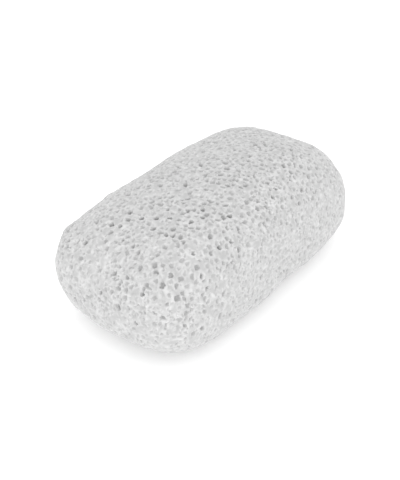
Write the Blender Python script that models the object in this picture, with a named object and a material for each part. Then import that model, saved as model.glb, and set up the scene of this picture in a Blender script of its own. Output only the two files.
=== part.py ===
"""A pumice stone: one tumbled, loaf-shaped piece of frothy volcanic glass, pitted by its gas cells.

The stone is worked out in three steps. A rounded loaf gives the body, low swellings make it a worn
natural stone, and the open gas cells are pressed into its skin as pits. Sizes are in metres, +Z is
up, and the stone rests on its worn foot with the middle of its bounding box over the origin.
"""

from collections import namedtuple

import bmesh
import bpy
import numpy as np
from mathutils import Vector
from mathutils.geometry import delaunay_2d_cdt

MM = 0.001

# The loaf, from its middle: a rounded block, higher above its widest line than below it.
HALF_LENGTH = 50.0 * MM
HALF_WIDTH = 28.4 * MM
CROWN_RISE = 26.4 * MM
FOOT_DROP = 17.3 * MM
WORN_OFF_FOOT = 1.4 * MM
WORN_EDGE = 1.2 * MM  # how gently the worn foot turns up into the sides

# How square the loaf is: 2 is an ellipse, and a larger number is boxier.
PLAN_SQUARENESS = 4.5
PLAN_SQUARENESS_CHANGE = 0.17  # squarer towards +X, rounder towards -X
CROWN_SQUARENESS = 2.5
FOOT_SQUARENESS = 2.8

# How far the loaf is from a true one, as shares of its width and height at the far edge.
WIDTH_TAPER = -0.06
CROWN_FALL = 0.02
CROWN_LEAN = -0.08

# Low swellings and hollows: bearing round the stone and height over its middle, how far each stands
# out (or, below zero, in) in millimetres, and how far it spreads. All angles are in degrees.
SWELLINGS = (
    (135, 15, 1.4, 24),
    (125, 30, -0.5, 24),
    (105, 45, -0.7, 24),
    (75, 45, 0.7, 24),
    (50, 40, -1.0, 24),
    (-30, 30, -0.6, 24),
    (-45, 5, 0.2, 24),
    (-55, -25, 1.3, 24),
    (-75, -30, -0.7, 24),
    (-105, -30, 0.6, 24),
    (175, -25, 1.0, 24),
    (150, -20, -0.7, 24),
    (45, -20, 0.5, 24),
    (85, -20, -0.6, 24),
    (130, 24, 0.6, 12),
    (126, 34, -0.8, 12),
    (117, 41, 0.7, 12),
    (101, 44, -0.3, 12),
    (82, 46, 0.2, 12),
    (-27, 38, 0.4, 12),
    (-39, 21, -0.6, 12),
    (-43, 5, 0.4, 12),
    (-103, -31, 0.7, 12),
    (-115, -29, -0.7, 12),
    (-126, -27, 0.4, 12),
    (170, -24, 0.3, 12),
    (-68, -30, 0.4, 4),
    (133, 22, 0.5, 3),
    (-122, -27, 0.4, 3),
    (63, 45, -0.3, 4),
    (-96, -30, 0.3, 3),
    (120, 38, 0.3, 3),
    (138, 14, -0.3, 3),
    (-55, -24, -0.3, 4),
    (-48, -14, 0.3, 4),
    (155, -20, 0.3, 3),
)

# The widest gas cells, by bearing and height over the middle in degrees, and radius in millimetres.
WIDEST_CELLS = (
    (-112, 49, 0.9),
    (-144, 27, 1.2),
    (-120, 36, 0.9),
    (-129, 58, 0.9),
    (159, 46, 1.2),
    (-153, 22, 0.8),
    (-137, 20, 1.4),
    (-167, 10, 1.2),
    (-136, 53, 1.0),
    (155, 33, 0.9),
    (-168, 57, 0.9),
    (-155, 57, 0.8),
    (138, 55, 0.9),
    (-124, 43, 0.9),
    (-78, 47, 0.8),
    (178, 55, 0.8),
    (-164, 52, 1.1),
    (-129, 54, 1.0),
    (-128, -2, 1.1),
    (-141, 31, 1.1),
    (-151, 49, 0.9),
    (-83, 44, 0.9),
    (167, 48, 0.9),
    (-171, 43, 1.0),
    (-126, 20, 1.0),
    (-152, 27, 0.9),
    (-128, 27, 1.0),
    (-165, 41, 0.9),
    (-132, 38, 0.8),
    (-138, 26, 0.9),
    (-134, 4, 0.9),
    (179, 13, 0.8),
    (-141, 18, 0.8),
    (-109, 41, 1.0),
    (-156, 4, 0.9),
    (-124, 35, 0.8),
    (-111, 30, 0.9),
    (-114, 36, 0.8),
    (-127, 8, 1.1),
    (-101, 5, 1.1),
    (-60, 37, 1.1),
    (102, 85, 0.8),
)

# The other gas cells are scattered over the whole skin.
SEED = 11
CELL_COUNT = 548
CELL_RADIUS = (0.8 * MM, 1.3 * MM)
CELL_WALL = 0.55 * MM  # the least skin left standing between two cells
CELL_STRETCH = 1.35  # how much longer than wide a cell can be
CELL_DEPTH = 1.3  # depth over radius
THROWS = 20000  # random tries at placing cells, and then at placing skin points
BOWL_RADIUS = 1.1 * MM  # cells from this size on get a rounded floor, and smaller ones a pointed one

# The foot keeps a whole patch in its middle, where the stone rests.
FOOT_PATCH = 4.0 * MM
FOOT_PATCH_POINTS = 14

# Points of the whole net, of which those that the cells leave carry the roundness of the stone.
NET_POINTS = 4930
TURN_NEED = 3.0  # how much closer they stand where the skin turns

STONE_COLOUR = (0.62, 0.62, 0.61, 1.0)  # linear light grey
STONE_ROUGHNESS = 0.95

HALF_SIZES = np.array([HALF_LENGTH, HALF_WIDTH, CROWN_RISE])
FOOT_HALF_SIZES = np.array([HALF_LENGTH, HALF_WIDTH, FOOT_DROP])
MIDDLE = np.array([0.2 * MM, -0.1 * MM, FOOT_DROP - WORN_OFF_FOOT])  # centres the stone on the origin

Cells = namedtuple("Cells", "centre radius long_axis short_axis inward turn")


def unit(vectors):
    """The same directions with a length of one."""
    return vectors / np.linalg.norm(vectors, axis=-1, keepdims=True)


def bearing(azimuth, height):
    """The direction at an angle round the stone and an angle over its middle, in degrees."""
    turn, lift = np.radians(azimuth), np.radians(height)
    return np.stack([np.cos(lift) * np.cos(turn), np.cos(lift) * np.sin(turn), np.sin(lift)], axis=-1)


def loaf(directions):
    """Points of the plain loaf: a superellipsoid whose halves differ, then tapered and leaned.

    Along a direction (x, y, z) the point is at the radius r for which
    ((x^p + y^p)^(q/p) + z^q) r^q = 1, stretched to the half sizes. p squares the plan, q the section.
    """
    size = np.abs(directions)
    above = directions[:, 2] >= 0
    plan = PLAN_SQUARENESS + PLAN_SQUARENESS_CHANGE * np.tanh(3 * directions[:, 0])
    section = np.where(above, CROWN_SQUARENESS, FOOT_SQUARENESS)
    outline = size[:, 0] ** plan + size[:, 1] ** plan
    radius = (outline ** (section / plan) + size[:, 2] ** section) ** (-1 / section)
    x, y, z = (directions * radius[:, None]).T
    rise = np.where(above, CROWN_RISE * (1 + CROWN_FALL * x + CROWN_LEAN * y), FOOT_DROP)
    return np.stack([HALF_LENGTH * x, HALF_WIDTH * y * (1 + WIDTH_TAPER * x), rise * z], axis=-1)


def facing(shape, directions, step=0.001):
    """The outward normal of a shape and how much skin each direction covers, from small steps."""
    pole = np.where(np.abs(directions[:, 2:]) < 0.9, [[0.0, 0.0, 1.0]], [[1.0, 0.0, 0.0]])
    side = unit(np.cross(directions, pole))
    lift = np.cross(directions, side)
    along = shape(unit(directions + step * side)) - shape(unit(directions - step * side))
    across = shape(unit(directions + step * lift)) - shape(unit(directions - step * lift))
    normal = np.cross(along, across)
    return unit(normal), np.linalg.norm(normal, axis=-1)


def skin(directions):
    """Points of the stone's smooth skin: the loaf, its swellings, and the foot worn flat."""
    azimuth, height, stand_out, spread = np.array(SWELLINGS).T
    angle = np.degrees(np.arccos(np.clip(directions @ bearing(azimuth, height).T, -1, 1)))
    swelling = np.exp(-((angle / spread) ** 2)) @ (stand_out * MM)
    points = loaf(directions) + facing(loaf, directions)[0] * swelling[:, None] + MIDDLE
    turned_up = (points[:, 2] + WORN_EDGE) ** 2 / (4 * WORN_EDGE)
    near_foot = np.abs(points[:, 2]) < WORN_EDGE
    points[:, 2] = np.where(near_foot, turned_up, np.maximum(points[:, 2], 0))
    return points


def under(points):
    """The directions whose skin points lie at the given points, closed in on step by step."""
    aim = points
    for _ in range(4):
        from_middle = aim - MIDDLE
        half_sizes = np.where(from_middle[:, 2:] >= 0, HALF_SIZES, FOOT_HALF_SIZES)
        directions = unit(from_middle / half_sizes)
        aim = aim + points - skin(directions)
    return directions


def even_directions(rng, count):
    """Random directions that cover the skin evenly, picked out of the given count."""
    directions = unit(rng.normal(size=(count, 3)))
    cover = facing(skin, directions)[1]
    return directions[rng.random(count) < cover / cover.max()]


def scatter_cells(rng):
    """Centres and radii of the cells: the widest ones, then the others thrown one by one.

    A thrown cell is kept where it leaves a whole wall to every cell before it, widest first. The
    patch of the foot that stays whole counts as the first cell, so that no other opens there.
    """
    azimuth, height, radius = np.array(WIDEST_CELLS).T
    directions = np.vstack([[0, 0, -1], bearing(azimuth, height)])
    centres = skin(directions)
    radii = np.append(FOOT_PATCH, radius * MM)
    smallest, largest = CELL_RADIUS
    sizes = iter(np.sort(smallest + (largest - smallest) * rng.random(CELL_COUNT) ** 2)[::-1])
    size = next(sizes)
    tries = even_directions(rng, THROWS)
    for direction, centre in zip(tries, skin(tries)):
        wall = np.linalg.norm(centres - centre, axis=1) - radii - size
        if wall.min() > CELL_WALL:
            directions = np.vstack([directions, direction])
            centres = np.vstack([centres, centre])
            radii = np.append(radii, size)
            size = next(sizes, None)
            if size is None:
                break
    return directions[1:], radii[1:]


def open_cells(rng):
    """The cells as oval mouths in the skin, each with its own stretch and turn."""
    directions, radius = scatter_cells(rng)
    inward = -facing(skin, directions)[0]
    stretch = np.sqrt(rng.uniform(1, CELL_STRETCH, len(radius)))
    sideways = unit(np.cross(inward, rng.normal(size=inward.shape)))
    long_axis = sideways * (radius * stretch)[:, None]
    short_axis = np.cross(inward, sideways) * (radius / stretch)[:, None]
    turn = rng.uniform(0, 2 * np.pi, len(radius))
    return Cells(skin(directions), radius, long_axis, short_axis, inward, turn)


def ring(cells, count, share):
    """Directions of a ring of points round each cell, at a share of its radius."""
    angle = cells.turn[:, None] + 2 * np.pi * np.arange(count) / count
    along = np.cos(angle)[..., None] * cells.long_axis[:, None]
    across = np.sin(angle)[..., None] * cells.short_axis[:, None]
    return under((cells.centre[:, None] + share * (along + across)).reshape(-1, 3))


def cell_points(cells):
    """Directions and inward moves of the points of every cell: its mouth and its floor.

    A row below is: which cells, points in the ring, share of the radius, share of the depth.
    """
    wide = cells.radius >= BOWL_RADIUS
    rows = (
        (wide, 8, 1.0, 0.0),
        (wide, 4, 0.5, 0.8),
        (wide, 1, 0.0, 1.0),
        (~wide, 5, 1.0, 0.0),
        (~wide, 1, 0.0, 1.0),
    )
    directions, moves = [], []
    for chosen, count, share, depth_share in rows:
        some = Cells(*(values[chosen] for values in cells))
        depth = some.radius * CELL_DEPTH * depth_share
        directions.append(ring(some, count, share))
        moves.append(np.repeat(some.inward * depth[:, None], count, axis=0))
    return np.vstack(directions), np.vstack(moves)


def foot_patch():
    """Directions of the ring of points round the whole patch of the foot."""
    angle = 2 * np.pi * np.arange(FOOT_PATCH_POINTS) / FOOT_PATCH_POINTS
    circle = np.stack([np.cos(angle), np.sin(angle), 0 * angle], axis=-1) * FOOT_PATCH
    return under(circle + MIDDLE * (1, 1, 0))


def fill_skin(rng, directions):
    """Adds points between the cells, each where the skin is furthest from every point so far.

    They stand closer where the skin turns from one side of the stone to the next. There the
    normal is far from every axis, so its largest component is well below one.
    """
    tries = even_directions(rng, THROWS)
    places = skin(tries)
    need = 1 + TURN_NEED * (1 - np.abs(facing(skin, tries)[0]).max(axis=1))
    distance = np.full(len(tries), np.inf)
    for point in skin(directions):
        distance = np.minimum(distance, np.linalg.norm(places - point, axis=1))
    chosen = []
    for _ in range(NET_POINTS - len(directions)):
        chosen.append(np.argmax(distance * need))
        distance = np.minimum(distance, np.linalg.norm(places - places[chosen[-1]], axis=1))
    return np.vstack([directions, tries[chosen]])


def drape(points):
    """Triangles over the points, found on a flat map that spreads out from the foot's middle."""
    seen = unit(points - MIDDLE)
    flat_map = seen[:, :2] / (1 + seen[:, 2:])
    net = delaunay_2d_cdt([Vector(place) for place in flat_map], [], [], 0, 1e-7)
    triangles, sources = net[2], net[3]
    return [[sources[corner][0] for corner in triangle] for triangle in triangles]


def stone_mesh():
    """The whole stone: a net over its smooth skin, whose cell floors are then pressed in."""
    rng = np.random.default_rng(SEED)
    directions, moves = cell_points(open_cells(rng))
    cell_count = len(directions)
    directions = fill_skin(rng, np.vstack([directions, foot_patch()]))
    points = skin(directions)

    stone = bmesh.new()
    corners = [stone.verts.new(point) for point in points]
    for triangle in drape(points):
        stone.faces.new([corners[corner] for corner in triangle])
    bmesh.ops.holes_fill(stone, edges=stone.edges, sides=0)
    bmesh.ops.beautify_fill(stone, faces=stone.faces, edges=stone.edges, method="AREA")
    for corner, move in zip(corners[:cell_count], moves):
        corner.co += Vector(move)
    bmesh.ops.recalc_face_normals(stone, faces=stone.faces)

    mesh = bpy.data.meshes.new("pumice_stone")
    stone.to_mesh(mesh)
    stone.free()
    return mesh


def pumice():
    """Dry, matt, light grey pumice."""
    material = bpy.data.materials.new("pumice")
    material.use_nodes = True
    shader = material.node_tree.nodes["Principled BSDF"]
    shader.inputs["Base Color"].default_value = STONE_COLOUR
    shader.inputs["Roughness"].default_value = STONE_ROUGHNESS
    shader.inputs["Metallic"].default_value = 0.0
    return material


def main():
    for thing in list(bpy.data.objects):
        bpy.data.objects.remove(thing)
    mesh = stone_mesh()
    mesh.materials.append(pumice())
    stone = bpy.data.objects.new("pumice_stone", mesh)
    bpy.context.scene.collection.objects.link(stone)


main()
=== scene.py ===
# %% [markdown]
# # A pumice stone
#
# Pumice is glass froth. Lava full of gas foamed up and froze within seconds, so the stone is mostly
# holes: cells of gas, from too fine to see up to three millimetres wide, with thin walls of glass
# between them. A stone for the bath is a block of that froth, tumbled until its edges are round.
# Tumbling cut the outermost cells open, so the eye sees a pale, dry, matt skin full of dark mouths.
#
# Such a stone could be sculpted, or be a ball with displacement textures on it. Here every form is a
# formula on whole numpy arrays. Then the cells have true places and sizes in millimetres, each step
# can be read and changed by itself, and the stone comes out the same each time.
#
# The solid that is loaded first already has the stone's form and its wider cells. This script makes
# the fine surface that takes its place, a finish for it, and a plain studio round it.

# %% Load the solid stone
from collections import namedtuple

import bpy
import numpy as np
from mathutils import Matrix, Vector


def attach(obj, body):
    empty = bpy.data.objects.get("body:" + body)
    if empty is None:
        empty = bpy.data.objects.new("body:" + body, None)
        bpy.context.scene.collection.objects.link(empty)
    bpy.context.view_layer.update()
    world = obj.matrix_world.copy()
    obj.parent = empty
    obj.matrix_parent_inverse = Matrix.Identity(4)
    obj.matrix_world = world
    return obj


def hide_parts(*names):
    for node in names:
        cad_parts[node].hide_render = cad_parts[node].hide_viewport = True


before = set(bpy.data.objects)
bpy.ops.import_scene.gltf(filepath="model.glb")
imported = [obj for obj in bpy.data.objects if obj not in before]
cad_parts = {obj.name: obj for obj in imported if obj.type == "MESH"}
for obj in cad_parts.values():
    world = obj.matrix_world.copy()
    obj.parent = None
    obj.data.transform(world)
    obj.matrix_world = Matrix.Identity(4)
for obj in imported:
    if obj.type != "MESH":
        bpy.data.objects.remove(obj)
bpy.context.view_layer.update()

# %% [markdown]
# ## The loaf
#
# The plain body is a superellipsoid: an ellipsoid whose equation has larger powers than two, which
# fills out its corners as a bar of soap does. The upper half and the lower half have heights and
# powers of their own, because this stone is fuller below its widest line. A taper and a lean take
# away the last of its symmetry. A subdivided cube would look alike, but a formula gives the skin in
# any direction at once, and each later step is another formula on top of it.

# %% The loaf
MM = 0.001

HALF_LENGTH = 50.0 * MM
HALF_WIDTH = 28.4 * MM
CROWN_RISE = 26.4 * MM
FOOT_DROP = 17.3 * MM

PLAN_SQUARENESS = 4.5
PLAN_SQUARENESS_CHANGE = 0.17
CHANGE_STEEPNESS = 3
CROWN_SQUARENESS = 2.5
FOOT_SQUARENESS = 2.8

WIDTH_TAPER = -0.06
CROWN_FALL = 0.02
CROWN_LEAN = -0.08


def unit(vectors):
    """The same directions with a length of one: each vector over the root of its squares' sum."""
    return vectors / np.linalg.norm(vectors, axis=-1, keepdims=True)


def loaf(directions):
    """Points of the plain loaf, one for each direction from its middle.

    Along a direction (x, y, z) the point is at the radius r for which
    ((x^p + y^p)^(q/p) + z^q) r^q = 1, stretched to the half sizes. p squares the plan, a little
    more at the far end, and q squares the section. The width then shrinks along x, and the crown
    rises or falls along x and leans along y.
    """
    size = np.abs(directions)
    above = directions[:, 2] >= 0
    plan = PLAN_SQUARENESS + PLAN_SQUARENESS_CHANGE * np.tanh(CHANGE_STEEPNESS * directions[:, 0])
    section = np.where(above, CROWN_SQUARENESS, FOOT_SQUARENESS)
    outline = size[:, 0] ** plan + size[:, 1] ** plan
    radius = (outline ** (section / plan) + size[:, 2] ** section) ** (-1 / section)
    x, y, z = (directions * radius[:, None]).T
    rise = np.where(above, CROWN_RISE * (1 + CROWN_FALL * x + CROWN_LEAN * y), FOOT_DROP)
    return np.stack([HALF_LENGTH * x, HALF_WIDTH * y * (1 + WIDTH_TAPER * x), rise * z], axis=-1)


print("the loaf's far end is at", loaf(np.array([[1.0, 0.0, 0.0]]))[0])

# %% [markdown]
# ## Which way the skin faces
#
# Cells open along the skin's normal, so each formula for a shape needs one for its normal too. It
# could be worked out on paper. Two short steps to either side of a point give the same, for every
# shape that this script has, and their cross product also says how much skin a direction covers.

# %% Normals from small steps
STEP = 0.001
NEAR_POLE = 0.9


def facing(shape, directions):
    """The outward normal of a shape and how much skin each direction covers.

    Both are the cross product of two differences: the shape a step to either side of a direction,
    and a step above and below it. Sideways is across z or, for a direction near z, across x.
    """
    pole = np.where(np.abs(directions[:, 2:]) < NEAR_POLE, [[0.0, 0.0, 1.0]], [[1.0, 0.0, 0.0]])
    side = unit(np.cross(directions, pole))
    lift = np.cross(directions, side)
    along = shape(unit(directions + STEP * side)) - shape(unit(directions - STEP * side))
    across = shape(unit(directions + STEP * lift)) - shape(unit(directions - STEP * lift))
    normal = np.cross(along, across)
    return unit(normal), np.linalg.norm(normal, axis=-1)


print("the loaf's crown faces", facing(loaf, np.array([[0.0, 0.0, 1.0]]))[0][0].round(3))

# %% [markdown]
# ## Swellings
#
# No stone is as even as a formula. Low swellings and hollows, each a soft hill on the loaf, make the
# outline wander as it does on a stone that was rubbed by hand. The wide ones give it its build, and
# the narrow ones are knobs and dents of a few millimetres. Sculpting could do this as well, but a
# list of hills says where each of them is and how high, in numbers that can be changed.

# %% Swellings
# Bearing round the stone and height over its middle, how far each stands out in millimetres (or,
# below zero, in), and how far it spreads. All angles are in degrees.
SWELLINGS = (
    (135, 15, 1.4, 24),
    (125, 30, -0.5, 24),
    (105, 45, -0.7, 24),
    (75, 45, 0.7, 24),
    (50, 40, -1.0, 24),
    (-30, 30, -0.6, 24),
    (-45, 5, 0.2, 24),
    (-55, -25, 1.3, 24),
    (-75, -30, -0.7, 24),
    (-105, -30, 0.6, 24),
    (175, -25, 1.0, 24),
    (150, -20, -0.7, 24),
    (45, -20, 0.5, 24),
    (85, -20, -0.6, 24),
    (130, 24, 0.6, 12),
    (126, 34, -0.8, 12),
    (117, 41, 0.7, 12),
    (101, 44, -0.3, 12),
    (82, 46, 0.2, 12),
    (-27, 38, 0.4, 12),
    (-39, 21, -0.6, 12),
    (-43, 5, 0.4, 12),
    (-103, -31, 0.7, 12),
    (-115, -29, -0.7, 12),
    (-126, -27, 0.4, 12),
    (170, -24, 0.3, 12),
    (-68, -30, 0.4, 4),
    (133, 22, 0.5, 3),
    (-122, -27, 0.4, 3),
    (63, 45, -0.3, 4),
    (-96, -30, 0.3, 3),
    (120, 38, 0.3, 3),
    (138, 14, -0.3, 3),
    (-55, -24, -0.3, 4),
    (-48, -14, 0.3, 4),
    (155, -20, 0.3, 3),
)


def bearing(azimuth, height):
    """The direction at an angle round the stone and an angle over its middle, in degrees."""
    turn, lift = np.radians(azimuth), np.radians(height)
    return np.stack([np.cos(lift) * np.cos(turn), np.cos(lift) * np.sin(turn), np.sin(lift)], axis=-1)


print(len(SWELLINGS), "swellings and hollows")

# %% [markdown]
# ## The worn foot
#
# The underside is worn flat, with a soft turn up into the sides, and that is what the stone lies on.
# A cut with a plane would make the flat as well, but with a hard edge that no rubbed stone has. So
# the heights near the flat follow a curve that meets it without a kink.

# %% The smooth skin
WORN_OFF_FOOT = 1.4 * MM
WORN_EDGE = 1.2 * MM

# Where the loaf's middle stands, so that the stone with all its swellings is centred on the origin.
MIDDLE = np.array([0.2 * MM, -0.1 * MM, FOOT_DROP - WORN_OFF_FOOT])


def skin(directions):
    """Points of the stone's smooth skin: the loaf, its swellings, and the foot worn flat.

    A swelling is its height times e^-(a/s)^2, for an angle a from its middle and the spread s, along
    the loaf's normal. Under the worn edge w, a height z becomes (z + w)^2 / 4w, and at least 0.
    """
    azimuth, height, stand_out, spread = np.array(SWELLINGS).T
    angle = np.degrees(np.arccos(np.clip(directions @ bearing(azimuth, height).T, -1, 1)))
    swelling = np.exp(-((angle / spread) ** 2)) @ (stand_out * MM)
    points = loaf(directions) + facing(loaf, directions)[0] * swelling[:, None] + MIDDLE
    turned_up = (points[:, 2] + WORN_EDGE) ** 2 / (4 * WORN_EDGE)
    near_foot = np.abs(points[:, 2]) < WORN_EDGE
    points[:, 2] = np.where(near_foot, turned_up, np.maximum(points[:, 2], 0))
    return points


print("the foot is at", skin(np.array([[0.0, 0.0, -1.0]]))[0], "in metres")

# %% [markdown]
# ## Uneven glass
#
# Nothing in froth is even. Sums of a few sine waves that run in random directions make a smooth noise
# that is the same wherever it is asked for. It serves three times: long waves make patches where the
# froth is more open or more closed, short ones bend the mouths out of their ovals, and faint ones
# roughen the land between the mouths. A noise texture could do the last, but not the first two.

# %% Waves
WAVE_COUNT = 16
WAVES_PER_LENGTH = (0.7, 1.4)


def waves(points, length, seed):
    """Smooth noise round 0, most of it between -1 and 1.

    It is the sum of sines of (k . point + phase) over root of count / 2. Each k points in a random
    direction, and 0.7 to 1.4 of its waves go into the given length.
    """
    rng = np.random.default_rng(seed)
    direction = unit(rng.normal(size=(WAVE_COUNT, 3)))
    pace = direction * 2 * np.pi / length * rng.uniform(*WAVES_PER_LENGTH, (WAVE_COUNT, 1))
    phase = rng.uniform(0, 2 * np.pi, WAVE_COUNT)
    return np.sin(points @ pace.T + phase).sum(axis=-1) / np.sqrt(WAVE_COUNT / 2)


both_ends = skin(bearing(np.array([180, 0]), np.zeros(2)))
print("waves of 10 mm at the near and the far end:", waves(both_ends, 10 * MM, 1).round(2))

# %% [markdown]
# ## Open and closed froth
#
# Gas rose through the foam as it froze, so one side of a stone is often more open than the other.
# Here it is the crown, and patches and smaller spots of up to two centimetres come on top. Open froth
# has more of the fine cells, and deeper ones. The patches could be painted on the mesh with a brush,
# but a formula is there before any mesh is, and can place the cells.

# %% Openness
OPEN_ALONG = -0.05
OPEN_UP = 0.3
OPEN_PATCHES = 0.15
OPEN_SPOTS = 0.1
MOST_OPEN = 2
PATCH_WAVE = 16.0 * MM
SPOT_WAVE = 7.0 * MM
PATCH_SEED = 155


def openness(points):
    """How open the froth is against the usual, which is 1.

    It is 1, plus a share that grows along x from -1 to 1, one that grows so with height, and what
    long and shorter waves add in patches and spots. It stays between 0 and the most.
    """
    along = points[:, 0] / HALF_LENGTH
    up = (points[:, 2] - MIDDLE[2]) / CROWN_RISE
    patches = waves(points, PATCH_WAVE, PATCH_SEED) * OPEN_PATCHES
    patches += waves(points, SPOT_WAVE, PATCH_SEED + 1) * OPEN_SPOTS
    return np.clip(1 + OPEN_ALONG * along + OPEN_UP * up + patches, 0, MOST_OPEN)


print("openness at the near and the far end:", openness(both_ends).round(2))

# %% [markdown]
# ## Darts
#
# Froth packs cells of many sizes side by side, each with a wall round it. Much the same comes out
# when cells are thrown on the stone like darts, widest first: a throw counts only where it leaves a
# wall to every cell before it. The darts have to fall evenly on the skin, so a direction is kept as
# often as it covers much skin. A ready-made cell texture would be shorter, but all its cells have
# nearly one size.

# %% Throwing cells


def even_directions(rng, count):
    """Random directions that cover the skin evenly: each is kept as often as it covers much skin."""
    directions = unit(rng.normal(size=(count, 3)))
    cover = facing(skin, directions)[1]
    return directions[rng.random(count) < cover / cover.max()]


def throw_cells(directions, radii, sizes, wall, tries):
    """Adds cells of the given sizes, each where the skin between it and every other is a wall thick.

    A throw counts where distance - radius - other radius > wall for all cells so far.
    """
    first = len(radii)
    room = np.full((first + len(sizes), 3), np.inf)
    room[:first] = skin(directions)
    radii = np.append(radii, sizes)
    kept, count = [], first
    for throw, place in enumerate(skin(tries)):
        gaps = np.linalg.norm(room[:count] - place, axis=1) - radii[:count] - radii[count]
        if gaps.min() > wall:
            room[count] = place
            kept.append(throw)
            count += 1
            if count == len(radii):
                break
    return np.vstack([directions, tries[kept]]), radii[:count]


to_end, to_side = facing(skin, bearing(np.array([0, -90]), np.zeros(2)))[1]
print("a direction to the end covers", (to_end / to_side).round(2), "times as much as one to the side")

# %% [markdown]
# ## Mouths
#
# A dart gives a cell its place and its size. Lava that was still creeping pulled the cells long, and
# tumbling cut them open, so each gets an oval mouth of its own, turned at random in the skin. Most
# cells were nearly rubbed away and are shallow, and a few are deep. Balls that are stretched and
# taken away by a Boolean would give the same holes, but thousands of them would take hours.

# %% Open cells
CELL_SHALLOWNESS = 2

Cells = namedtuple("Cells", "directions centre radius depth long_axis short_axis inward")


def open_cells(rng, directions, radius, most_stretch, depths):
    """Cells as oval mouths in the skin, each with its own stretch, turn and depth.

    From its middle a mouth reaches radius * root of stretch one way and radius / root of stretch the
    other. Its depth is radius * openness * a number between the two depths, nearer the first for most.
    """
    inward = -facing(skin, directions)[0]
    stretch = np.sqrt(rng.uniform(1, most_stretch, len(radius)))[:, None]
    sideways = unit(np.cross(inward, rng.normal(size=inward.shape)))
    long_axis = sideways * radius[:, None] * stretch
    short_axis = np.cross(inward, sideways) * radius[:, None] / stretch
    centre = skin(directions)
    shallowest, deepest = depths
    radii_deep = shallowest + (deepest - shallowest) * rng.random(len(radius)) ** CELL_SHALLOWNESS
    depth = radius * radii_deep * openness(centre)
    return Cells(directions, centre, radius, depth, long_axis, short_axis, inward)


print("what is known of each cell:", *Cells._fields)

# %% [markdown]
# ## The cells that show most
#
# No two stones have the same face, and what the eye remembers of one is its few dozen darkest mouths.
# Those have places of their own here, as bearings that can be read off a stone with it in the hand.
# Seeds could be tried until the dark ones fall about right, but a list says it outright. The solid
# has the same list without the depths, which only the eye needs.

# %% The widest cells
# Bearing and height over the middle in degrees, radius in millimetres, and depth in radii of the
# mouth. The deep and narrow ones look the darkest.
WIDEST_CELLS = (
    (-112, 49, 0.9, 2.7),
    (-144, 27, 1.2, 1.4),
    (-120, 36, 0.9, 2.1),
    (-129, 58, 0.9, 3.0),
    (159, 46, 1.2, 1.6),
    (-153, 22, 0.8, 2.3),
    (-137, 20, 1.4, 1.2),
    (-167, 10, 1.2, 2.8),
    (-136, 53, 1.0, 3.0),
    (155, 33, 0.9, 1.7),
    (-168, 57, 0.9, 2.4),
    (-155, 57, 0.8, 3.0),
    (138, 55, 0.9, 3.0),
    (-124, 43, 0.9, 1.6),
    (-78, 47, 0.8, 3.0),
    (178, 55, 0.8, 2.9),
    (-164, 52, 1.1, 1.4),
    (-129, 54, 1.0, 2.1),
    (-128, -2, 1.1, 1.7),
    (-141, 31, 1.1, 1.3),
    (-151, 49, 0.9, 1.4),
    (-83, 44, 0.9, 1.5),
    (167, 48, 0.9, 1.5),
    (-171, 43, 1.0, 1.3),
    (-126, 20, 1.0, 2.0),
    (-152, 27, 0.9, 1.3),
    (-128, 27, 1.0, 1.7),
    (-165, 41, 0.9, 1.1),
    (-132, 38, 0.8, 1.3),
    (-138, 26, 0.9, 1.1),
    (-134, 4, 0.9, 1.3),
    (179, 13, 0.8, 1.4),
    (-141, 18, 0.8, 1.1),
    (-109, 41, 1.0, 1.4),
    (-156, 4, 0.9, 1.9),
    (-124, 35, 0.8, 1.3),
    (-111, 30, 0.9, 1.8),
    (-114, 36, 0.8, 1.6),
    (-127, 8, 1.1, 0.9),
    (-101, 5, 1.1, 1.8),
    (-60, 37, 1.1, 0.9),
    (102, 85, 0.8, 2.3),
)

print(len(WIDEST_CELLS), "cells have places of their own")

# %% [markdown]
# ## The wider cells
#
# These are the mouths that are seen from across a room: the ones just listed, and some hundreds that
# are thrown round them. The solid has the same cells, so the same seed has to draw them in the same
# order. More rows in the list could stand for them all, but nobody would read it.

# %% The wider cells
SEED = 11
CELL_COUNT = 548
CELL_RADIUS = (0.8 * MM, 1.3 * MM)
CELL_SMALLNESS = 2
CELL_WALL = 0.55 * MM
CELL_STRETCH = 1.35
CELL_DEPTHS = (0.55, 0.85)
MOUTH_SHARE = 0.76
SMALL_CELL = 0.95 * MM
SMALL_MOUTH_SHARE = 0.88
THROWS = 20000
FOOT_PATCH = 4.0 * MM


def wider_cells(rng):
    """The widest cells and those thrown after them, none of them in the patch kept whole below.

    A size is the smallest + (largest - smallest) * chance^2, so most are small. A mouth is a share
    as wide as the room that its cell takes up. The share is larger for the small ones among the
    widest, which are cut open nearer to their middle.
    """
    azimuth, height, radius, depth = np.array(WIDEST_CELLS).T
    directions = np.vstack([[0, 0, -1], bearing(azimuth, height)])
    radii = np.append(FOOT_PATCH, radius * MM)
    smallest, largest = CELL_RADIUS
    sizes = smallest + (largest - smallest) * rng.random(CELL_COUNT) ** CELL_SMALLNESS
    tries = even_directions(rng, THROWS)
    directions, radii = throw_cells(directions, radii, np.sort(sizes)[::-1], CELL_WALL, tries)
    share = np.full(len(radii) - 1, MOUTH_SHARE)
    share[: len(radius)] = np.where(radius * MM < SMALL_CELL, SMALL_MOUTH_SHARE, MOUTH_SHARE)
    cells = open_cells(rng, directions[1:], radii[1:] * share, CELL_STRETCH, CELL_DEPTHS)
    cells.depth[: len(depth)] = cells.radius[: len(depth)] * depth
    return cells


wide = wider_cells(np.random.default_rng(SEED))
print(len(wide.radius), "wider cells, the widest", round(wide.radius.max() / MM, 2), "mm in radius")

# %% [markdown]
# ## The froth between them
#
# Most cells are small, and the walls between them are thin. They are thrown in the same way, round
# the wider ones, with hardly any wall asked for. A last few hundred are scattered with no test at
# all: those cut into their neighbours, as cells do that burst into each other, and give mouths that
# are no longer oval. All of this could be a bump texture, but then the outline and the raking light
# of a low lamp would show a smooth stone.

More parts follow.
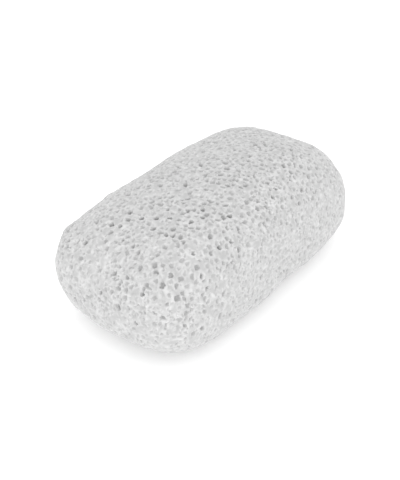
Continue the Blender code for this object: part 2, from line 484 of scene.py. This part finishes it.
# %% The finer cells
FROTH_SEED = 5
FINE_COUNT = 4000
FINE_RADIUS = (0.42 * MM, 0.92 * MM)
FINE_SMALLNESS = 1.6
FINE_WALL = 0.04 * MM
FINE_STRETCH = 1.8
FINE_DEPTHS = (0.4, 1.0)
FINE_THROWS = 120000
BURST_COUNT = 500
BURST_THROWS = 2000
BURST_RADIUS = (0.45 * MM, 0.8 * MM)


def finer_cells(rng):
    """The small cells: thrown ones with thin walls, and then burst ones that may overlap any other.

    A throw is made with the chance openness / most open, so that open froth has more of them.
    """
    smallest, largest = FINE_RADIUS
    sizes = smallest + (largest - smallest) * rng.random(FINE_COUNT) ** FINE_SMALLNESS
    tries = even_directions(rng, FINE_THROWS)
    tries = tries[rng.random(len(tries)) < openness(skin(tries)) / MOST_OPEN]
    widest_first = np.sort(sizes)[::-1]
    directions, radii = throw_cells(wide.directions, wide.radius, widest_first, FINE_WALL, tries)
    burst = even_directions(rng, BURST_THROWS)[:BURST_COUNT]
    directions = np.vstack([directions[len(wide.radius) :], burst])
    radii = np.append(radii[len(wide.radius) :], rng.uniform(*BURST_RADIUS, len(burst)))
    return open_cells(rng, directions, radii, FINE_STRETCH, FINE_DEPTHS)


fine = finer_cells(np.random.default_rng(FROTH_SEED))
print(len(fine.radius), "finer cells")

# %% [markdown]
# ## A net over the skin
#
# A ball of longitudes and latitudes has poles where its faces shrink to slivers. A box has none. Each
# of its six sides is a flat grid of two parameters from -1 to 1, and the grid's points, pushed out
# to directions, land on the skin about a quarter of a millimetre apart. That is fine enough to give
# even the small cells a floor and walls.

# %% The six sides of the net
NET_STEP = 0.26 * MM
SIDES = [(axis, sign) for axis in range(3) for sign in (-1, 1)]

half_sizes = np.array([HALF_LENGTH, HALF_WIDTH, (CROWN_RISE + FOOT_DROP) / 2])
steps = np.round(2 * half_sizes / NET_STEP).astype(int)


def side_axes(axis):
    """The two axes that the grid of a side runs along, in order."""
    return [other for other in range(3) if other != axis]


def side_directions(axis, sign):
    """Directions through the grid of one side: the unit vectors of (u, v, sign), in axis order."""
    along, across = side_axes(axis)
    u, v = np.meshgrid(*(np.linspace(-1, 1, steps[a] + 1) for a in (along, across)), indexing="ij")
    grid = np.full(u.shape + (3,), float(sign))
    grid[..., along] = u
    grid[..., across] = v
    return unit(grid)


print("net:", sum(np.prod(steps[side_axes(axis)] + 1) for axis, sign in SIDES), "points")

# %% [markdown]
# ## Bent mouths and rubbed land
#
# No mouth is a true oval, because the walls bent as they froze. Every point is shifted a little by
# smooth waves before the cells are pressed in, and that bends the ovals. The land between the mouths
# is rubbed in low hollows of three widths, and lies a touch below the smooth skin everywhere, so
# that the stone stays within its solid. A displacement texture could roughen the land, but it would
# come after the mouths and not bend them.

# %% Bends and land
MOUTH_WARP = 0.12 * MM
MOUTH_WAVE = 1.5 * MM
WARP_SEEDS = (1, 2, 3)
LAND_WAVES = ((6.0 * MM, 0.15 * MM), (3.2 * MM, 0.03 * MM), (1.3 * MM, 0.02 * MM))
LAND_SEED = 46
LAND_REST = 0.07 * MM


def warped(points):
    """The points, each shifted by three waves, one along each axis."""
    shift = np.stack([waves(points, MOUTH_WAVE, seed) for seed in WARP_SEEDS], axis=-1)
    return points + MOUTH_WARP * shift


def land_drop(points):
    """How far the land between the mouths lies below the smooth skin.

    It is a little rest, plus depth * (1 + wave) / 2 for each of the waves, and at least the rest.
    """
    drop = LAND_REST
    for seed, (length, depth) in enumerate(LAND_WAVES, LAND_SEED):
        drop += depth * (1 + waves(points, length, seed)) / 2
    return np.clip(drop, LAND_REST, None)


print("land below the smooth skin at both ends:", (land_drop(both_ends) / MM).round(2), "mm")

# %% [markdown]
# ## Pressing the cells in
#
# A cell that was cut open is a bowl with steep walls. Its depth is worked out only in a small window
# of the grid round its middle, but for all cells of a group at once, and where windows overlap the
# deepest bowl wins. The same windows tell how near each point is to the lip of a mouth, where a
# painted highlight goes on the edge, so that the finish can follow the shape. Trying every cell at
# every point would be simpler to write, and would take more than a hundred times as long.

# %% Bowls and lips
BOWL_FLATNESS = 3.0
LIP_WIDTH = 0.3 * MM
TIGHTEST_STEP = 0.42
SIDE_REACH = 0.2


def press(cells, axis, sign, places):
    """Depth and lip of a group of cells at each grid point of one side.

    At rho radii from its middle, a cell is depth * root(1 - rho^flatness) deep. The lip is 1 where
    rho is 1 and falls to 0 over the lip's width. Only cells whose direction leans toward the side
    are tried, and each only in a window as wide as its reach over the net's tightest step.
    """
    rows, columns = places.shape[:2]
    depth, lip = np.zeros(rows * columns), np.zeros(rows * columns)
    toward = cells.directions[:, axis] * sign
    here = toward > SIDE_REACH
    cells = Cells(*(values[here] for values in cells))
    centre = cells.directions[:, side_axes(axis)] / toward[here, None]
    at = np.round((centre + 1) / 2 * steps[side_axes(axis)]).astype(int)
    reach = np.linalg.norm(cells.long_axis, axis=1).max() + MOUTH_WARP + LIP_WIDTH
    half_window = int(np.ceil(reach / NET_STEP / TIGHTEST_STEP))
    window = np.arange(-half_window, half_window + 1)
    row = np.clip(at[:, 0, None, None] + window[:, None], 0, rows - 1)
    column = np.clip(at[:, 1, None, None] + window, 0, columns - 1)
    offset = places[row, column] - cells.centre[:, None, None]
    rho = np.zeros(offset.shape[:3])
    for direction in (cells.long_axis, cells.short_axis, cells.inward * cells.radius[:, None]):
        scaled = direction / (direction**2).sum(axis=1, keepdims=True)
        rho += np.einsum("cijk,ck->cij", offset, scaled) ** 2
    rho = np.sqrt(rho)
    radius = cells.radius[:, None, None]
    bowl = cells.depth[:, None, None] * np.sqrt(np.clip(1 - rho**BOWL_FLATNESS, 0, 1))
    edge = np.clip(1 - np.abs(rho - 1) * radius / LIP_WIDTH, 0, 1)
    point = (row * columns + column).ravel()
    np.maximum.at(depth, point, bowl.ravel())
    np.maximum.at(lip, point, edge.ravel())
    return depth, lip


print("a bowl is still half as deep at", round((1 - 0.5**2) ** (1 / BOWL_FLATNESS), 2), "radii")

# %% [markdown]
# ## The real skin
#
# Now the two groups of cells and the land come together on each side of the net. Fine cells that fall
# inside a wide one mark its floor, as the froth behind a broken wall does. The groups could be one
# list, but the windows would then all be as wide as the widest cell needs.

# %% Six dressed sides
FLOOR_MARK = 0.35


def dressed_side(axis, sign):
    """Points of one side of the stone's real skin, with how hollow and how near a lip each is.

    A point lies below the smooth skin by the deeper of the two groups' bowls, a share of the other
    one, and the drop of the land.
    """
    directions = side_directions(axis, sign)
    flat = directions.reshape(-1, 3)
    points = skin(flat)
    places = warped(points).reshape(directions.shape)
    wide_depth, wide_lip = press(wide, axis, sign, places)
    fine_depth, fine_lip = press(fine, axis, sign, places)
    depth = np.maximum(wide_depth, fine_depth) + FLOOR_MARK * np.minimum(wide_depth, fine_depth)
    lip = np.maximum(wide_lip, fine_lip)
    inward = -facing(skin, flat)[0]
    return points + inward * (depth + land_drop(points))[:, None], depth, lip


sides = [dressed_side(*side) for side in SIDES]
print("deepest cell:", round(max(depth.max() for _, depth, _ in sides) / MM, 2), "mm")

# %% [markdown]
# ## Sewing the net
#
# Neighbouring sides share the points along the box's edges. Each grid point has a whole-number place
# on the box, so points that are the same have the same number, and one call sorts out the doubles.
# Merging by distance would do too, but numbers can't be mistaken.

# %% One closed skin
HOLLOW_DEPTH = 1.2 * MM


def side_codes(axis, sign):
    """The number of each grid point of a side: (i * (ny + 1) + j) * (nz + 1) + k on the box."""
    along, across = side_axes(axis)
    place = [0, 0, 0]
    place[along], place[across] = np.meshgrid(
        np.arange(steps[along] + 1), np.arange(steps[across] + 1), indexing="ij"
    )
    place[axis] = np.full(place[along].shape, steps[axis] if sign > 0 else 0)
    return (place[0] * (steps[1] + 1) + place[1]) * (steps[2] + 1) + place[2]


def side_faces(axis, sign):
    """The four numbers round each face of a side, in the order that makes it face outwards."""
    codes = side_codes(axis, sign)
    faces = np.stack([codes[:-1, :-1], codes[1:, :-1], codes[1:, 1:], codes[:-1, 1:]], axis=-1)
    outward = (sign > 0) != (axis == 1)
    return faces.reshape(-1, 4)[:, :: 1 if outward else -1]


def sewn_mesh(name):
    """One mesh from all six sides, with the attributes hollow and lip on its points.

    Hollow is 0 on the land and 1 at the hollow depth, and goes on rising below that.
    """
    codes = np.concatenate([side_codes(*side).ravel() for side in SIDES])
    numbers, first = np.unique(codes, return_index=True)
    faces = np.searchsorted(numbers, np.concatenate([side_faces(*side) for side in SIDES]))
    points, depth, lip = (np.concatenate(values)[first] for values in zip(*sides))
    mesh = bpy.data.meshes.new(name)
    mesh.from_pydata(points, [], faces)
    for attribute, values in (("hollow", depth / HOLLOW_DEPTH), ("lip", lip)):
        mesh.attributes.new(attribute, "FLOAT", "POINT").data.foreach_set("value", values)
    return mesh


stone_mesh = sewn_mesh("frothy_stone")
print(len(stone_mesh.vertices), "points and", len(stone_mesh.polygons), "faces")

# %% [markdown]
# ## Thinning
#
# The net is equally fine everywhere, and more than a library part should weigh. Decimate takes away
# the points that matter least, so the flat land gets long triangles and the bowls keep theirs. It is
# applied at once, and the finished mesh is a plain one of just under two hundred thousand triangles.

# %% The finished mesh
TRIANGLES = 198000
SHARP_FROM = 75

stone = bpy.data.objects.new("frothy_stone", stone_mesh)
bpy.context.scene.collection.objects.link(stone)
thinning = stone.modifiers.new("thinning", "DECIMATE")
thinning.ratio = TRIANGLES / (2 * len(stone_mesh.polygons))
thinning.use_collapse_triangulate = True
evaluated = stone.evaluated_get(bpy.context.evaluated_depsgraph_get())
thinned = bpy.data.meshes.new_from_object(evaluated)
stone.modifiers.clear()
stone.data = thinned
bpy.data.meshes.remove(stone_mesh)
thinned.name = "frothy_stone"
thinned.shade_smooth()
thinned.set_sharp_from_angle(angle=np.radians(SHARP_FROM))
print(len(thinned.polygons), "triangles")

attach(stone, "root")
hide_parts("pumice_stone")

# %% [markdown]
# ## Colours and nodes
#
# Colours are picked as sRGB hex numbers, as on any screen, but light adds up in linear ones. One
# function turns the first into the second, and one small function adds a node with its settings and
# its links, so that a material reads as a list of what it does.

# %% Two helpers


def linear(colour):
    """An sRGB hex colour as linear red, green, blue and alpha.

    A channel c is c / 12.92 up to 0.04045, and ((c + 0.055) / 1.055)^2.4 above that.
    """
    channels = np.array([int(colour[i : i + 2], 16) for i in (1, 3, 5)]) / 255
    straight, curved = channels / 12.92, ((channels + 0.055) / 1.055) ** 2.4
    return (*np.where(channels <= 0.04045, straight, curved), 1.0)


def add_node(tree, kind, inputs=(), **settings):
    """Adds a node, sets its settings, and fills its inputs: a socket is linked, a value is set."""
    node = tree.nodes.new(kind)
    for name, value in settings.items():
        setattr(node, name, value)
    for name, value in dict(inputs).items():
        if isinstance(value, bpy.types.NodeSocket):
            tree.links.new(value, node.inputs[name])
        else:
            node.inputs[name].default_value = value
    return node


print("mid grey is", np.round(linear("#808080")[0], 3), "in linear light")

# %% [markdown]
# ## Pricks and grains
#
# The land between the mouths is pierced by cells too fine for the mesh, and the shade in them is
# painted on it as dark pin pricks, while crushed glass makes it grainy. Both are patterns that fill
# the space round the stone, with sizes in millimetres, so they need no unwrapping and have no seams.
# A Voronoi texture gives each prick its place, and noise gives the grains. As geometry they would
# take millions of triangles.

# %% Two patterns
# The finest cells of real pumice are under a tenth of a millimetre, and too fine to show. So they are
# drawn coarser, as one prick of painted shade to each place of the pattern. A prick is 0.1 to 0.35
# places in radius, dark up to its first edge, in radii, and gone at its second.
PIN_SPACING = 1.1 * MM
PIN_RADIUS = (0.1, 0.35)
PIN_EDGE = (0.6, 1.15)

NOISE_DETAIL = 2.0


def prick_pattern(tree, place, off_lip):
    """Pin pricks of painted shade: 1 within the first edge and 0 past the second, and none on the
    lips.

    rho is the distance to the middle of a place of the pattern over the prick's own radius there.
    """
    pattern = {"Vector": place, "Scale": 1 / PIN_SPACING}
    places = add_node(tree, "ShaderNodeTexVoronoi", pattern).outputs
    sizes = {"Value": places["Color"], "To Min": PIN_RADIUS[0], "To Max": PIN_RADIUS[1]}
    radius = add_node(tree, "ShaderNodeMapRange", sizes).outputs["Result"]
    ratio = {0: places["Distance"], 1: radius}
    rho = add_node(tree, "ShaderNodeMath", ratio, operation="DIVIDE").outputs[0]
    edge = {"Value": rho, "From Min": PIN_EDGE[1], "From Max": PIN_EDGE[0]}
    prick = add_node(tree, "ShaderNodeMapRange", edge, interpolation_type="SMOOTHSTEP")
    both = {0: prick.outputs["Result"], 1: off_lip}
    return add_node(tree, "ShaderNodeMath", both, operation="MULTIPLY").outputs[0]


def grain_pattern(tree, place, size):
    """Paler and darker grains of one size, about as many of each: noise - 1/2."""
    pattern = {"Vector": place, "Scale": 1 / size, "Detail": NOISE_DETAIL}
    noise = add_node(tree, "ShaderNodeTexNoise", pattern).outputs["Fac"]
    return add_node(tree, "ShaderNodeMath", {0: noise, 1: 0.5}, operation="SUBTRACT").outputs[0]


print("radius of the pricks:", *(f"{share * PIN_SPACING / MM:.2f}" for share in PIN_RADIUS), "mm")

# %% [markdown]
# ## Tones that follow the shape
#
# The lips of the cells are painted the palest, a painted highlight for the light that their edges
# catch. Their floors are painted darker, partly the grey dust of use and partly a painted shade for
# the froth that goes on deeper than the mesh. A picture of pumice could be wrapped round the stone,
# but its mouths would not lie on these mouths. So the material reads the mesh's own lip and hollow,
# and colour and shape can't drift apart. The pricks, a painted shade for cells too fine for the mesh,
# the grains and a faint mottle are added to the same tone, each with its share.

# %% Tones and relief
LAND = "#ADADAD"
# The palest colour, a painted highlight on the lips of the cells.
LIP_HIGHLIGHT = "#CACACA"
# The darkest colour, for the cell floors: the grey of dust with a painted shade.
FLOOR_DUST_AND_SHADE = "#9A9A9A"

# Grains of crushed glass are 0.05 mm and finer. They too are drawn as coarse as they need to show.
# The mottle is as wide as two or three cells: froth that drained more has thicker, paler glass.
GRAIN = 0.3 * MM
MOTTLE = 2.2 * MM

# What moves the tone from the land's (0.5) towards the painted highlight of the lips (1) or the dust
# and painted shade of the floors (0). The pricks darken it as painted shade.
LAND_TONE = 0.5
TONE_SHARES = {"lip": 0.45, "hollow": -0.3, "pin": -0.15, "grain": 0.1, "mottle": 0.5}

# How far each stands out of the surface, or into it, in millimetres.
RELIEF = {"pin": -0.05, "grain": 0.01}


def weighted_sum(tree, start, values, shares):
    """A chain of nodes for start + the sum of value * share."""
    total = start
    for name, share in shares.items():
        terms = {0: values[name], 1: share, 2: total}
        total = add_node(tree, "ShaderNodeMath", terms, operation="MULTIPLY_ADD").outputs[0]
    return total


print("the tone of a whole lip:", LAND_TONE + TONE_SHARES["lip"])

# %% [markdown]
# ## Dry pumice
#
# The real surface is broken glass froth, tumbled dull and dry: thousands of edges that scatter light
# every way, so the eye gets no gloss and hardly any colour, only a chalky pale grey that stays as
# bright towards the outline as in the middle. One Principled shader gives that, very rough, with
# hardly any mirroring and with a sheen for the dust. Light that goes on inside the glass would be
# truer still, but it takes far longer to render, and on a skin this broken it would look the same.

# %% The finish
# Glass dust on broken edges lifts the light that grazes it, as the fuzz on a peach does.
DUST_SHEEN = 0.35
DUST_SHEEN_ROUGHNESS = 0.5

# Volcanic glass has an IOR of 1.5, but this much broken, it mirrors hardly anything.
GLASS_IOR = 1.5
GLASS_SPECULAR = 0.2
BROKEN_ROUGHNESS = 0.95


def dry_pumice():
    """Frothy volcanic glass, tumbled and dry: pale, matt and grainy, with lips in painted highlight
    and cell floors in dust and painted shade.
    """
    material = bpy.data.materials.new("tumbled_pumice_dry")
    material.use_nodes = True
    tree = material.node_tree
    place = add_node(tree, "ShaderNodeTexCoord").outputs["Object"]
    values = {
        name: add_node(tree, "ShaderNodeAttribute", attribute_name=name).outputs["Fac"]
        for name in ("lip", "hollow")
    }
    off_lip = add_node(tree, "ShaderNodeMath", {0: 1.0, 1: values["lip"]}, operation="SUBTRACT")
    values["pin"] = prick_pattern(tree, place, off_lip.outputs[0])
    values["grain"] = grain_pattern(tree, place, GRAIN)
    values["mottle"] = grain_pattern(tree, place, MOTTLE)

    tone_value = weighted_sum(tree, LAND_TONE, values, TONE_SHARES)
    tone = add_node(tree, "ShaderNodeValToRGB", {"Fac": tone_value})
    tone.color_ramp.elements.new(LAND_TONE)
    # The tone runs from dust and painted shade in the floors, over the land, to a painted highlight on
    # the lips.
    for element, colour in zip(tone.color_ramp.elements, (FLOOR_DUST_AND_SHADE, LAND, LIP_HIGHLIGHT)):
        element.color = linear(colour)
    relief = {"Height": weighted_sum(tree, 0.0, values, RELIEF), "Distance": MM}
    bump = add_node(tree, "ShaderNodeBump", relief)

    shader = tree.nodes["Principled BSDF"]
    tree.links.new(tone.outputs["Color"], shader.inputs["Base Color"])
    tree.links.new(bump.outputs["Normal"], shader.inputs["Normal"])
    shader.inputs["Roughness"].default_value = BROKEN_ROUGHNESS
    shader.inputs["IOR"].default_value = GLASS_IOR
    shader.inputs["Specular IOR Level"].default_value = GLASS_SPECULAR
    shader.inputs["Sheen Weight"].default_value = DUST_SHEEN
    shader.inputs["Sheen Roughness"].default_value = DUST_SHEEN_ROUGHNESS
    return material


pumice = dry_pumice()
thinned.materials.clear()
thinned.materials.append(pumice)
print(len(pumice.node_tree.nodes), "nodes in", pumice.name)

# %% [markdown]
# ## The floor
#
# The studio is as plain as can be. The stone lies on a white board with a faint glow, as a light
# table has, so that the board darkens little under the stone and lights its lower edge from below.
# With no board, the stone would hang in the white with no shade under it.

# %% The floor
WHITE = "#FFFFFF"
FLOOR = "#F4F4F4"
FLOOR_GLOW = 0.12
FLOOR_ROUGHNESS = 1.0
FLOOR_SPECULAR = 0.0
FLOOR_HALF_SIZE = 2.0


def floor():
    """A plain square floor under the stone."""
    corners = np.array([(-1, -1, 0), (1, -1, 0), (1, 1, 0), (-1, 1, 0)]) * FLOOR_HALF_SIZE
    mesh = bpy.data.meshes.new("floor")
    mesh.from_pydata(corners, [], [(0, 1, 2, 3)])
    material = bpy.data.materials.new("matt_white_board")
    material.use_nodes = True
    shader = material.node_tree.nodes["Principled BSDF"]
    shader.inputs["Base Color"].default_value = linear(FLOOR)
    shader.inputs["Roughness"].default_value = FLOOR_ROUGHNESS
    shader.inputs["Specular IOR Level"].default_value = FLOOR_SPECULAR
    shader.inputs["Emission Color"].default_value = linear(WHITE)
    shader.inputs["Emission Strength"].default_value = FLOOR_GLOW
    mesh.materials.append(material)
    return bpy.data.objects.new("floor", mesh)


studio_floor = floor()
bpy.context.scene.collection.objects.link(studio_floor)
print("the floor is", 2 * FLOOR_HALF_SIZE, "m wide")

# %% [markdown]
# ## The light
#
# It is white all round, with one large soft lamp at the near end. Light from everywhere keeps the
# shade in the cells soft, and the lamp is just strong enough to set the near end and the corner off
# from the crown. A small hard lamp would fill the cells with black.

# %% The light
SKY_STRENGTH = 1.2
LAMP_PLACE = Vector((-0.68, -0.57, 0.46))
LAMP_SIZE = 0.6
LAMP_WATTS = 3.5


def lamp():
    """A square soft lamp that faces the stone."""
    light = bpy.data.lights.new("soft_lamp", "AREA")
    light.size = LAMP_SIZE
    light.energy = LAMP_WATTS
    holder = bpy.data.objects.new("soft_lamp", light)
    turn = (LAMP_PLACE - Vector(MIDDLE)).to_track_quat("Z", "Y")
    holder.matrix_world = Matrix.Translation(LAMP_PLACE) @ turn.to_matrix().to_4x4()
    return holder


bpy.context.scene.collection.objects.link(lamp())

sky = bpy.data.worlds.new("white_all_round")
sky.use_nodes = True
sky.node_tree.nodes["Background"].inputs["Color"].default_value = linear(WHITE)
sky.node_tree.nodes["Background"].inputs["Strength"].default_value = SKY_STRENGTH
bpy.context.scene.world = sky
bpy.context.scene.view_settings.view_transform = "Standard"
print("lamp", round(LAMP_PLACE.length, 2), "m away")

# %% [markdown]
# ## The camera
#
# The stone is looked down on from its near left end, with its length running away to the right. The
# camera stands where a hand that holds it would, about a third of a metre off, and is turned so that
# the stone's middle comes a little right of and above the middle of the picture.

# %% The camera
CAMERA_AZIMUTH = -49.8
CAMERA_HEIGHT = 35.9
CAMERA_DISTANCE = 337.8 * MM
CAMERA_ROLL = -0.7
NEAREST_SEEN = 10 * MM
LENS = 77.8
SENSOR = 36.0
PICTURE = (400, 480)
MIDDLE_SEEN_AT = (209.6, 233.8)


def camera():
    """A camera round the stone's middle, turned so that the middle is seen at its pixel.

    One pixel at the middle is distance * sensor / lens / picture height wide.
    """
    turn, lift, roll = np.radians((CAMERA_AZIMUTH, CAMERA_HEIGHT, CAMERA_ROLL))
    back = np.array([np.sin(turn) * np.cos(lift), -np.cos(turn) * np.cos(lift), np.sin(lift)])
    level = np.array([np.cos(turn), np.sin(turn), 0])
    upright = np.cross(back, level)
    right = level * np.cos(roll) + upright * np.sin(roll)
    up = upright * np.cos(roll) - level * np.sin(roll)
    pixel = CAMERA_DISTANCE * SENSOR / LENS / PICTURE[1]
    across, down = (np.array(MIDDLE_SEEN_AT) - np.array(PICTURE) / 2) * pixel
    place = MIDDLE + back * CAMERA_DISTANCE
    view = unit(place - (MIDDLE - right * across + up * down))
    right = unit(right - view * (right @ view))
    matrix = np.eye(4)
    matrix[:3] = np.stack([right, np.cross(view, right), view, place], axis=1)

    data = bpy.data.cameras.new("camera")
    data.sensor_width = SENSOR
    data.lens = LENS
    data.clip_start = NEAREST_SEEN
    holder = bpy.data.objects.new("camera", data)
    holder.matrix_world = Matrix(matrix)
    return holder


viewpoint = camera()
bpy.context.scene.collection.objects.link(viewpoint)
bpy.context.scene.camera = viewpoint
print("camera at", *(f"{value:.3f}" for value in viewpoint.matrix_world.translation), "m")
